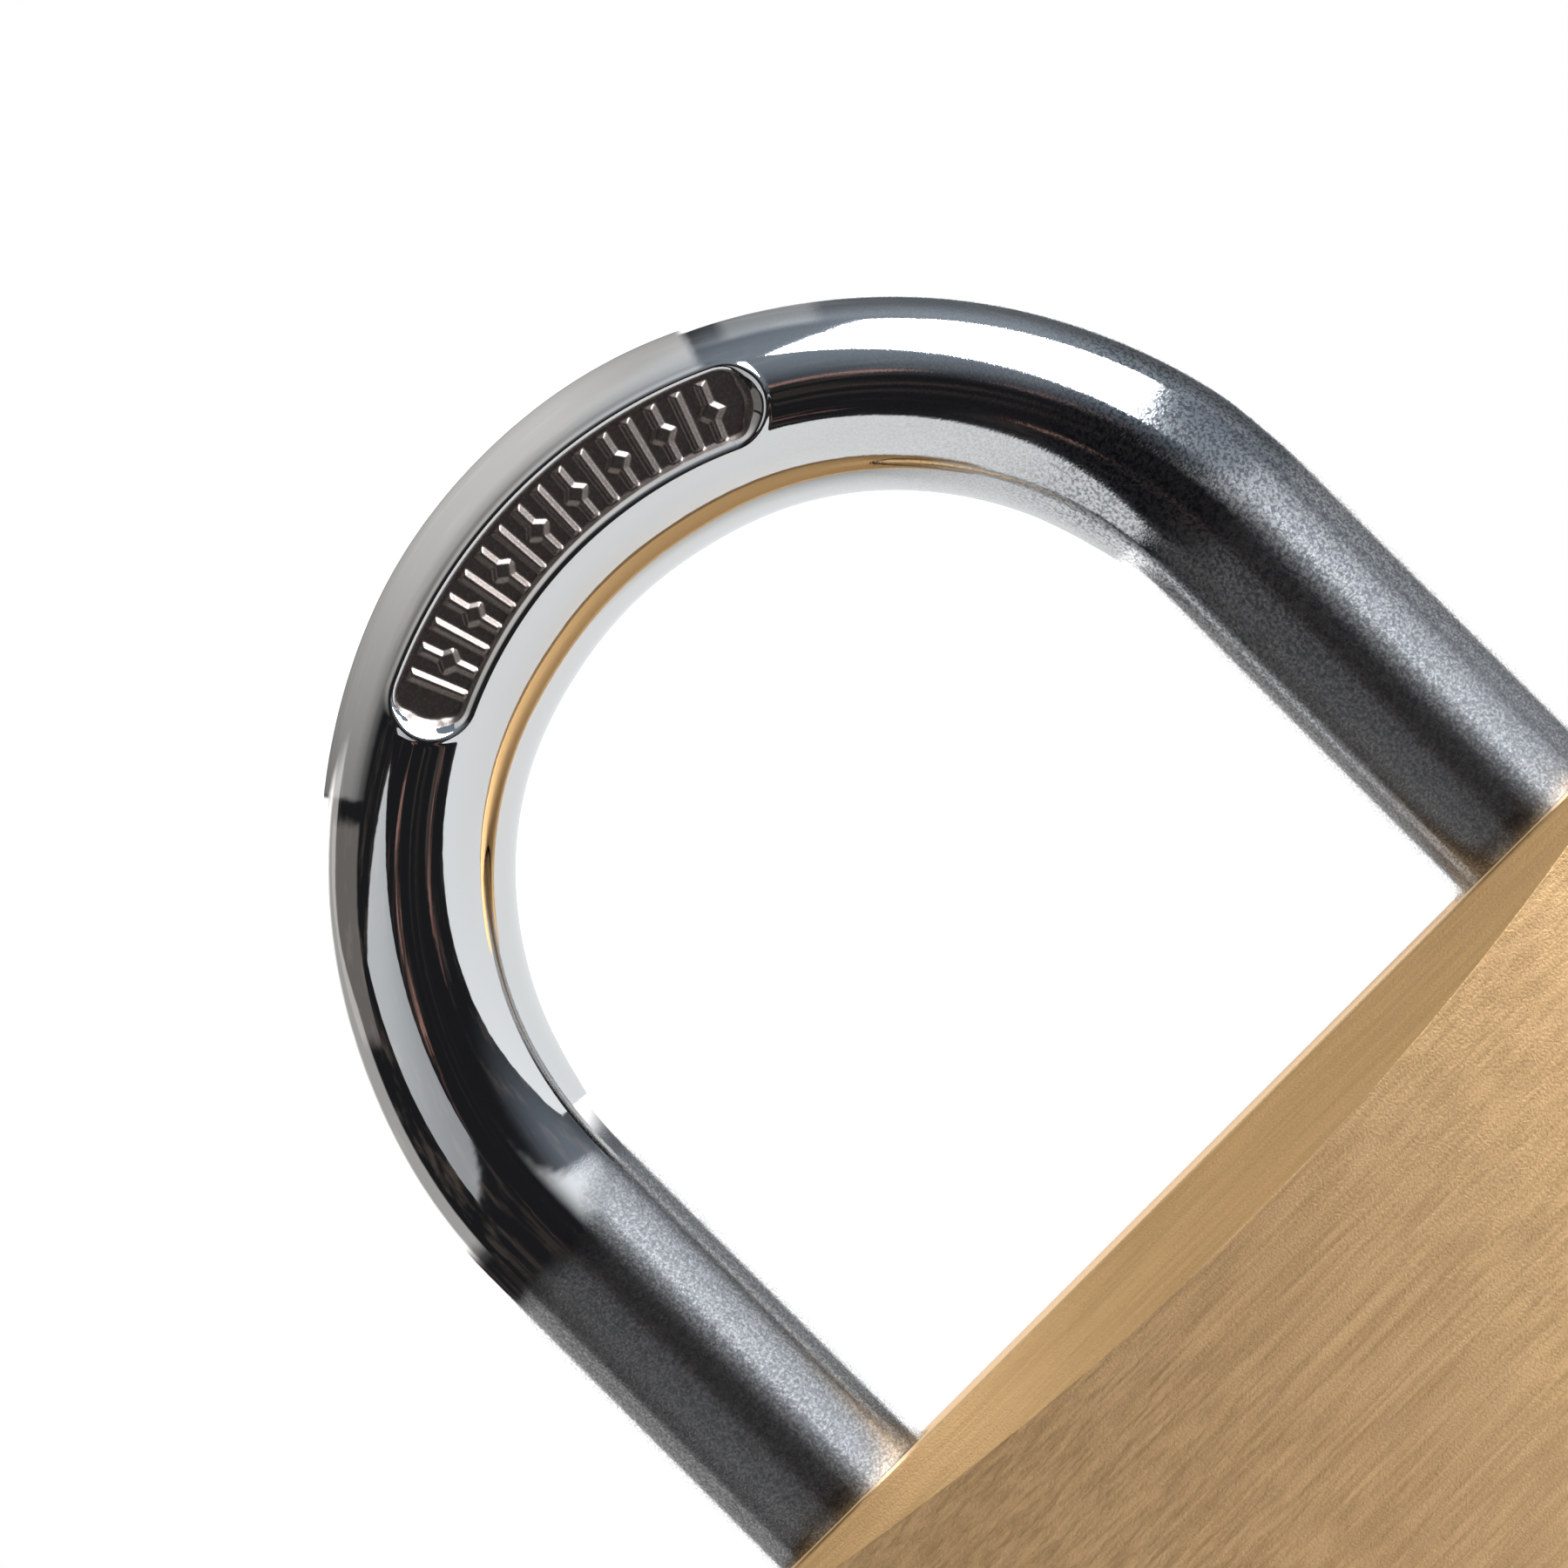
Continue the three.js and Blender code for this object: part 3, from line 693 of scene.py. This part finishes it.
def panel_inside(along, across):
    """Distance inside the rim of the stamped panel, negative outside it, and the slope of its wall there."""
    half = PANEL_HALF_ANGLE * PANEL_RADIUS
    beyond = np.maximum(np.abs(along) - half, 0)
    reach = np.hypot(beyond, across)
    endways = smooth(beyond / np.maximum(reach, 1e-6), 0.25, 0.8)
    side_slope = np.where(across > 0, OUTER_SLOPE, INNER_SLOPE)
    return PANEL_HALF_WIDTH - reach, side_slope + (END_SLOPE - side_slope) * endways


def mark_inside(along, across):
    """Distance inside the nearest raised mark. The marks are bars, each second one with a lozenge on it."""
    pitch = 2 * PANEL_HALF_ANGLE * PANEL_RADIUS / MARKS
    index = np.clip(np.floor(along / pitch + MARKS / 2), 0, MARKS - 1)
    local = np.abs(along - (index - MARKS / 2 + 0.5) * pitch)
    bar = np.minimum(MARK_WIDTH / 2 - local, MARK_HEIGHT / 2 - np.abs(across))
    lozenge = (LOZENGE - local - np.abs(across)) * math.sqrt(0.5)
    return np.where(index % 2 == 1, np.maximum(bar, lozenge), bar)


def soft_positive(value, softness):
    """The value where it is well above 0, and 0 where it is well below, with a rounded corner between."""
    return softness * np.logaddexp(0, value / softness)


def stamp(points):
    """Presses in the panel, raises its marks, and gives 1 on the panel's floor and low on its walls."""
    x, y, z = points.T
    radius = np.hypot(x, z - BEND_Z)
    along = (math.pi / 2 - np.arctan2(z - BEND_Z, x)) * PANEL_RADIUS
    across = radius - PANEL_RADIUS
    inside, slope = panel_inside(along, across)
    raised = MARK_RISE * smooth(mark_inside(along, across), -0.09 * MM, 0.11 * MM)
    floor = PANEL_FLOOR - raised
    wall = slope * soft_positive(inside - WALL_START, WALL_SOFTNESS)
    drop = wall - soft_positive(wall - (floor - y), FLOOR_SOFTNESS)
    lip = LIP * np.exp(-((inside + LIP_OUT) / LIP_WIDTH) ** 2)
    front = smooth(-y, 0.8 * MM, 1.6 * MM)
    pressed_y = y + front * (np.maximum(drop, 0) - lip)
    points[:, 1] = pressed_y
    return smooth(inside, 0.02 * MM, 0.1 * MM) * smooth(wall - (floor - pressed_y), 0, 0.1 * MM)


def rod_angles():
    """Angles round the rod from its front, closer together across the front, where the panel is."""
    front = np.linspace(-FRONT_HALF_ANGLE, FRONT_HALF_ANGLE, FRONT_SIDES, endpoint=False)
    rest = np.linspace(FRONT_HALF_ANGLE, 2 * math.pi - FRONT_HALF_ANGLE, REST_SIDES, endpoint=False)
    return np.concatenate([front, rest])


def make_shackle(material):
    around = rod_angles()
    notch_x = LEG_X - ROD + NOTCH_DEPTH
    rows, pressed = [], []
    for centre_x, centre_z, angle, half, across in shackle_stations():
        outward = np.array((math.cos(angle), 0, math.sin(angle)))
        ring = (np.array((centre_x, 0, centre_z)) + np.outer(half * np.sin(around), outward)
                + np.outer(-across * np.cos(around), (0, 1, 0)))
        if abs(centre_z - BOLT_Z) <= NOTCH_HALF:
            side = math.copysign(1, centre_x)
            ring[:, 0] = side * np.maximum(side * ring[:, 0], notch_x)
        near_panel = abs(angle - math.pi / 2) < PANEL_HALF_ANGLE + STAMP_MARGIN
        pressed.append(stamp(ring) if near_panel else np.zeros(len(ring)))
        rows.append(ring)
    faces = tube_faces(len(rows), len(around))
    shackle = new_object("shackle_rod", np.concatenate(rows), faces)
    depth = shackle.data.attributes.new("pressed", "FLOAT", "POINT")
    depth.data.foreach_set("value", np.concatenate(pressed).astype(np.float32))
    face_outward(shackle)
    sharpen(shackle, degrees=50)
    return finish_piece(shackle, material, "shackle", "shackle_chrome", "shackle")


# ---------------------------------------------------------------- inner pieces

def coil(name, node, axis, wire, turns, part=(0.0, 1.0)):
    """A wire spring that fills a node's box, with closed end turns. part picks a stretch of it."""
    low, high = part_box(node)
    along = "xyz".index(axis)
    other = (along + 1) % 3
    length = high[along] - low[along]
    radius = (high[other] - low[other]) / 2 - wire
    steps = int(turns * STEPS_PER_TURN)
    share = np.linspace(part[0], part[1], int(steps * (part[1] - part[0])) + 1)
    closed = 1.0 / turns
    rise = np.interp(share, [0, closed, 1 - closed, 1], [0, 2 * wire / length, 1 - 2 * wire / length, 1])
    height = wire + rise * (length - 2 * wire)
    angle = 2 * math.pi * turns * share
    path = np.stack([radius * np.cos(angle), radius * np.sin(angle), height], axis=1)
    tangent = np.gradient(path, axis=0)
    tangent /= np.linalg.norm(tangent, axis=1)[:, None]
    outward = np.stack([np.cos(angle), np.sin(angle), np.zeros_like(angle)], axis=1)
    upward = np.cross(tangent, outward)
    around = np.linspace(0, 2 * math.pi, WIRE_SIDES, endpoint=False)
    points = (path[:, None, :] + wire * np.cos(around)[None, :, None] * outward[:, None, :]
              + wire * np.sin(around)[None, :, None] * upward[:, None, :]).reshape(-1, 3)
    piece = new_object(name, points, tube_faces(len(share), WIRE_SIDES))
    centre = (low + high) / 2
    centre[along] = low[along]
    piece.data.transform(turn_matrix(axis, centre))
    face_outward(piece)
    return sharpen(piece, degrees=60)


def make_springs(material):
    low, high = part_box("shackle_spring")
    lift = coil("shackle_coil", "shackle_spring", "z", SHACKLE_WIRE, turns=6)
    lift.data.materials.append(material)
    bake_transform(lift)
    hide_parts("shackle_spring")
    low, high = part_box("bolt_spring")
    halves = (("heel", (0.0, 0.5), "heel_bolt", low), ("toe", (0.5, 1.0), "toe_bolt", high))
    for side, part, bolt, outer in halves:
        half = coil(f"bolt_coil_{side}", "bolt_spring", "x", BOLT_WIRE, turns=8, part=part)
        half.data.materials.append(material)
        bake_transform(half)
        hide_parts("bolt_spring")
    for pin in PINS:
        node = f"driver_spring_{pin}"
        low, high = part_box(node)
        spring = coil(f"driver_coil_{pin}", node, "x", DRIVER_WIRE, turns=7)
        finish_piece(spring, material, "body", "spring_steel", node)
        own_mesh(spring)


def round_piece(name, node, axis, profile, material, body, slot, sides=SMALL_SIDES):
    """A turned piece in a node's place. profile holds (share of the length, share of the radius) pairs."""
    low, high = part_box(node)
    along = "xyz".index(axis)
    other = (along + 1) % 3
    radius = (high[other] - low[other]) / 2
    length = high[along] - low[along]
    centre = (low + high) / 2
    centre[along] = low[along]
    points = [(share * length, part * radius) for share, part in profile]
    piece = turned(name, points, sides, axis, centre)
    weigh_normals(piece)
    return finish_piece(piece, material, body, slot, node)


def domed(edge=0.06, waist=1.0):
    """A pin's profile with rounded ends. A waist below 1 makes the middle slimmer."""
    start = [(0, 1 - 2.4 * edge), (0.3 * edge, 1 - edge), (edge, 1)]
    body = [(0.3, 1), (0.35, waist), (0.65, waist), (0.7, 1)] if waist < 1 else []
    end = [(1 - share, part) for share, part in reversed(start)]
    return start + body + end


def make_pins(pin_metal, case_metal, hard_metal):
    driver_profile = domed(edge=0.05, waist=0.8)
    key_profile = [(0, 0.22), (0.04, 0.42), (0.22, 1), (0.93, 1), (0.98, 0.9), (1, 0.78)]
    chamber_profile = [(0, 0.9), (0.04, 1), (0.96, 1), (0.99, 0.97), (1, 0.9)]
    bore_profile = [(0, 0.95), (0.04, 1), (0.94, 1), (0.985, 0.98), (1, 0.94)]
    retaining_profile = [(0, 0.8), (0.02, 1), (0.985, 1), (0.996, 0.95), (1, 0.86)]
    for pin in PINS:
        round_piece(f"driver_pin_turned_{pin}", f"driver_pin_{pin}", "x", driver_profile, pin_metal,
                    f"driver_pin_{pin}", "pin_brass")
        round_piece(f"key_pin_turned_{pin}", f"key_pin_{pin}", "y", key_profile, pin_metal,
                    f"key_pin_{pin}", "pin_brass")
        round_piece(f"chamber_plug_turned_{pin}", f"chamber_plug_{pin}", "x", chamber_profile, case_metal,
                    "body", "body_brass")
    round_piece("bolt_bore_plug_turned", "bolt_bore_plug", "x", bore_profile, case_metal,
                "body", "body_brass", MEDIUM_SIDES)
    for node in ("shackle_retaining_pin", "plug_retaining_pin"):
        round_piece(f"{node}_turned", node, "y", retaining_profile, hard_metal, "body", "hard_steel")


def make_plug(material):
    """The plug with its groove, keyway, tang slot and pin chambers, turned a quarter as it is at rest."""
    low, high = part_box("plug")
    radius = high.x
    groove_low, groove_high = PLUG_GROOVE_Z - PLUG_GROOVE_HALF, PLUG_GROOVE_Z + PLUG_GROOVE_HALF
    profile = [(low.z, radius - 0.3 * MM), (low.z + 0.08 * MM, radius - 0.1 * MM),
               (low.z + 0.3 * MM, radius),
               (groove_low, radius), (groove_low, PLUG_GROOVE),
               (groove_high, PLUG_GROOVE), (groove_high, radius),
               (high.z - 0.2 * MM, radius), (high.z, radius - 0.2 * MM)]
    plug = turned("plug_turned", profile, FINE_SIDES)
    # Three overlapping blocks make the warded keyway. Each has a low and a high corner in x and y, in mm.
    keyway = [((-0.6, -0.3), (0.6, 2.4)), ((-1.1, -2.1), (0.2, -0.1)), ((-0.8, -4.3), (0.8, -1.9))]
    cutters = []
    for (low_x, low_y), (high_x, high_y) in keyway:
        low_corner = (low_x * MM, low_y * MM, -MM)
        high_corner = (high_x * MM, high_y * MM, KEYWAY_END)
        cutters.append(block("keyway", low_corner, high_corner))
    cutters.append(block("tang slot", (-MM, -TANG_SLOT_HALF, high.z - TANG_SLOT_DEPTH),
                         (MM, TANG_SLOT_HALF, high.z + MM)))
    profile = [(MM, CHAMBER), (radius + MM, CHAMBER)]
    for pin in PINS:
        height = middle(f"key_pin_{pin}").z
        cutters.append(turned("chamber", profile, SMALL_SIDES, "y", (0, 0, height)))
    carve(plug, cutters)
    sharpen(plug, degrees=28)
    weigh_normals(plug)
    return finish_piece(plug, material, "plug", "plug_brass", "plug")


def paint_kept_nodes(material):
    for node in ("cam", "toe_bolt", "heel_bolt"):
        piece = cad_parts[node]
        for slot in piece.material_slots:
            slot.material = material


# ---------------------------------------------------------------- studio

def edge_normal(first, second):
    return tuple(Vector(first).cross(Vector(second)).normalized())


def light_panel(nodes, direction, corners, soft):
    """1 inside a flat panel whose corners lie in these directions, clockwise as seen from the padlock."""
    mask = None
    for first, second in zip(corners, corners[1:] + corners[:1]):
        inside = nodes.ramp(nodes.dot(direction, edge_normal(first, second)), 0, soft)
        mask = inside if mask is None else nodes.product(mask, inside)
    return mask


def key_and_card(nodes, direction, z):
    """The key softbox up on the right and the dimmer card on the left, both in front."""
    key = light_panel(nodes, direction, [(0.427, -0.559, 0.71), (0.547, -0.82, 0.167),
                                         (0.955, 0.0, 0.292), (0.669, -0.05, 0.743)], 0.02)
    card = light_panel(nodes, direction, [(-0.749, -0.406, 0.524), (-0.862, -0.5, 0.09),
                                          (-0.386, -0.92, 0.075), (-0.344, -0.776, 0.529)], 0.015)
    return key, nodes.product(card, nodes.ramp(z, 0.05, 0.5, 0.38, 0.66))


def ceiling(nodes, over_x, over_y):
    """The scrim overhead, which fades towards its edges, and the dim wing on either side of it."""
    depth = nodes.between(over_y, (-0.66, -0.52), (1.3, 1.15))
    scrim = nodes.product(nodes.between(over_x, (-0.8, -0.78), (0.48, 0.45)), depth)
    fade = nodes.product(nodes.ramp(over_y, -0.62, -0.05, 0.16, 1.0),
                         nodes.ramp(over_y, 0.4, 1.2, 1.0, 0.8),
                         nodes.ramp(over_x, -0.9, 0.1, 0.36, 1.0),
                         nodes.ramp(over_x, 0.1, 0.45, 1.0, 0.75))
    left_wing = nodes.product(nodes.between(over_x, (-2.1, -1.9), (-0.84, -0.88)),
                              nodes.between(over_y, (-0.6, -0.5), (0.5, 0.42)))
    right_wing = nodes.product(nodes.between(over_x, (0.53, 0.56), (0.8, 0.74)),
                               nodes.ramp(over_y, -0.1, 0.15))
    return nodes.product(scrim, fade), left_wing, right_wing


def wall_on_left(nodes, x, y, z):
    """A grey wall on the left, brighter towards the back."""
    wall_depth = nodes.math("MULTIPLY_ADD", nodes.ramp(z, 0.48, 0.62), -0.15, y)
    wall = nodes.product(nodes.ramp(x, -0.5, -0.58), nodes.ramp(wall_depth, 0.03, 0.08),
                         nodes.ramp(z, 0.01, 0.07))
    bright = nodes.product(wall, nodes.ramp(y, 0.36, 0.46))
    return nodes.math("MULTIPLY_ADD", bright, 1.3, nodes.product(wall, 0.45))


def white_surround(nodes, x, y, z, over_x, over_y):
    """The white backdrop, open behind the scrim, and the white sweep below it."""
    behind_scrim = nodes.product(nodes.between(over_x, (-0.81, -0.79), (0.48, 0.45)),
                                 nodes.ramp(over_y, 1.35, 1.2))
    right_and_up = nodes.product(nodes.ramp(x, 0.1, 0.4), nodes.ramp(z, 0.05, 0.15))
    set_back = nodes.math("MULTIPLY_ADD", right_and_up, -0.1, y)
    set_back = nodes.math("MULTIPLY_ADD", nodes.ramp(z, 0.12, 0.02), -0.05, set_back)
    backdrop = nodes.product(nodes.ramp(set_back, 0.49, 0.55), nodes.math("SUBTRACT", 1.0, behind_scrim))
    sweep = nodes.product(nodes.ramp(y, -0.02, 0.08), nodes.ramp(z, -0.03, -0.12))
    return nodes.math("MAXIMUM", backdrop, sweep)


def make_world():
    """A studio of lights, each a colour, a mask of directions and a strength, in a white surround."""
    world = bpy.data.worlds.new("studio")
    world.use_nodes = True
    bpy.context.scene.world = world
    nodes = Nodes(world.node_tree)
    background = next(n for n in world.node_tree.nodes if n.type == "BACKGROUND")
    direction = nodes.add("ShaderNodeTexCoord").outputs["Generated"]
    x, y, z = nodes.split(direction)
    up = nodes.math("MAXIMUM", z, 0.02)
    over_x = nodes.math("DIVIDE", x, up)
    over_y = nodes.math("DIVIDE", y, up)

    key, card = key_and_card(nodes, direction, z)
    scrim, left_wing, right_wing = ceiling(nodes, over_x, over_y)
    haze = nodes.product(nodes.ramp(y, -0.1, 0.1), nodes.ramp(x, 0.3, 0.5))
    level = nodes.between(z, (-0.04, -0.015), (0.04, 0.015))
    low_strip = nodes.product(level, nodes.ramp(nodes.dot(direction, (0.74, -0.67, 0)), 0.75, 0.99))
    halo = nodes.ramp(nodes.dot(direction, (0.76, -0.42, 0.5)), 0.6, 0.97)
    clutter = nodes.ramp(nodes.noise(nodes.stretch(direction, (3, 3, 9)), 1.6, 4), 0.5, 0.75)
    underlight = nodes.ramp(z, -0.4, -0.6)
    ring = nodes.between(nodes.dot(direction, (0, -1, 0)), (0.925, 0.935), (0.962, 0.95))
    left_wall = wall_on_left(nodes, x, y, z)
    lights = [((0.014, 0.0145, 0.016), 1.0, 1.0),
              ((0.96, 1.0, 1.05), key, 16.6),
              ((0.97, 1.0, 1.03), card, 1.0),
              ((1.02, 1.0, 0.97), scrim, 0.74),
              ((1.1, 1.0, 0.93), left_wing, 0.15),
              ((1.0, 1.0, 1.0), right_wing, 0.22),
              ((0.9, 1.0, 1.1), haze, 0.16),
              ((0.97, 1.0, 1.02), low_strip, 1.0),
              ((0.86, 1.0, 1.18), halo, 0.27),
              ((1.0, 0.75, 0.6), clutter, 0.07),
              ((1.0, 1.0, 1.0), underlight, 0.6),
              ((1.0, 0.5, 0.42), nodes.product(ring, clutter), 0.6),
              ((1.02, 1.0, 0.96), left_wall, 1.0)]
    room = nodes.total([nodes.scaled(colour, nodes.product(mask, strength))
                        for colour, mask, strength in lights])
    white = white_surround(nodes, x, y, z, over_x, over_y)
    lit = nodes.mix(white, room, (1.9, 1.9, 1.9, 1))
    seen = nodes.add("ShaderNodeLightPath").outputs["Is Camera Ray"]
    nodes.link(nodes.mix(seen, lit, (1, 1, 1, 1)), background.inputs["Color"])


def base_outline():
    """Points round the flat base that the padlock stands on."""
    points = []
    for x, y, out_x, out_y, _, low_drop in body_outline():
        inset = rounded_bevel(low_drop, bevel_tilt(x, out_y))[-1][0]
        points.append((x + out_x * inset, y + out_y * inset, 0))
    return points


def make_floor():
    """A pale sheet that the padlock stands on, open under its base and clear when seen from beneath."""
    mesh = bmesh.new()
    sheet = [(-FLOOR_SIDE, FLOOR_FRONT_LEFT, 0), (FLOOR_SIDE, FLOOR_FRONT_RIGHT, 0),
             (FLOOR_SIDE, FLOOR_BACK, 0), (-FLOOR_SIDE, FLOOR_BACK, 0)]
    for outline in (sheet, base_outline()):
        corners = [mesh.verts.new(point) for point in outline]
        for first, second in zip(corners, corners[1:] + corners[:1]):
            mesh.edges.new((first, second))
    bmesh.ops.triangle_fill(mesh, edges=mesh.edges[:], use_beauty=True, normal=(0, 0, 1))
    data = bpy.data.meshes.new("floor")
    mesh.to_mesh(data)
    mesh.free()
    floor = bpy.data.objects.new("floor", data)
    bpy.context.scene.collection.objects.link(floor)
    floor.data.materials.append(pale_floor())


def pale_floor():
    """Pale and matt from above, clear from beneath."""
    material = bpy.data.materials.new("pale floor")
    material.use_nodes = True
    shader = next(n for n in material.node_tree.nodes if n.type == "BSDF_PRINCIPLED")
    output = next(n for n in material.node_tree.nodes if n.type == "OUTPUT_MATERIAL")
    shader.inputs["Base Color"].default_value = (0.56, 0.555, 0.54, 1)
    shader.inputs["Roughness"].default_value = 0.9
    nodes = Nodes(material.node_tree)
    beneath = nodes.add("ShaderNodeNewGeometry").outputs["Backfacing"]
    either = nodes.add("ShaderNodeMixShader")
    nodes.link(beneath, either.inputs[0])
    nodes.link(shader.outputs[0], either.inputs[1])
    nodes.link(nodes.add("ShaderNodeBsdfTransparent").outputs[0], either.inputs[2])
    nodes.link(either.outputs[0], output.inputs["Surface"])
    return material


def make_camera():
    """Square on to the front, rolled 45 degrees so that one corner of the picture cuts the body off."""
    data = bpy.data.cameras.new("camera")
    camera = bpy.data.objects.new("camera", data)
    bpy.context.scene.collection.objects.link(camera)
    data.sensor_width = 36
    data.lens = data.sensor_width * CAMERA_DISTANCE / FRAME_WIDTH
    data.clip_start, data.clip_end = 0.05, 20
    half = math.sqrt(0.5)
    target = Vector((TARGET_X, 0, BODY_TOP + TARGET_ABOVE_BODY))
    turn = Matrix(((half, half, 0), (0, 0, -1), (-half, half, 0))).to_4x4()
    camera.matrix_world = Matrix.Translation(target + Vector((0, -CAMERA_DISTANCE, 0))) @ turn
    bpy.context.scene.camera = camera


def main():
    scene = bpy.context.scene
    scene.view_settings.view_transform = "Standard"
    brass = brushed_brass()
    plug_metal = turned_brass()
    pin_metal = pin_brass()
    hard = steel("hard steel", (0.32, 0.325, 0.34, 1), (0.5, 0.505, 0.515, 1), 0.22, 0.4, (600, 6000, 6000))
    wire = steel("spring wire", (0.4, 0.405, 0.42, 1), (0.56, 0.565, 0.575, 1), 0.18, 0.34,
                 (2500, 2500, 2500))
    make_body(brass)
    make_shackle(shackle_chrome())
    make_springs(wire)
    make_pins(pin_metal, brass, hard)
    make_plug(plug_metal)
    paint_kept_nodes(hard)
    make_world()
    make_floor()
    make_camera()


main()
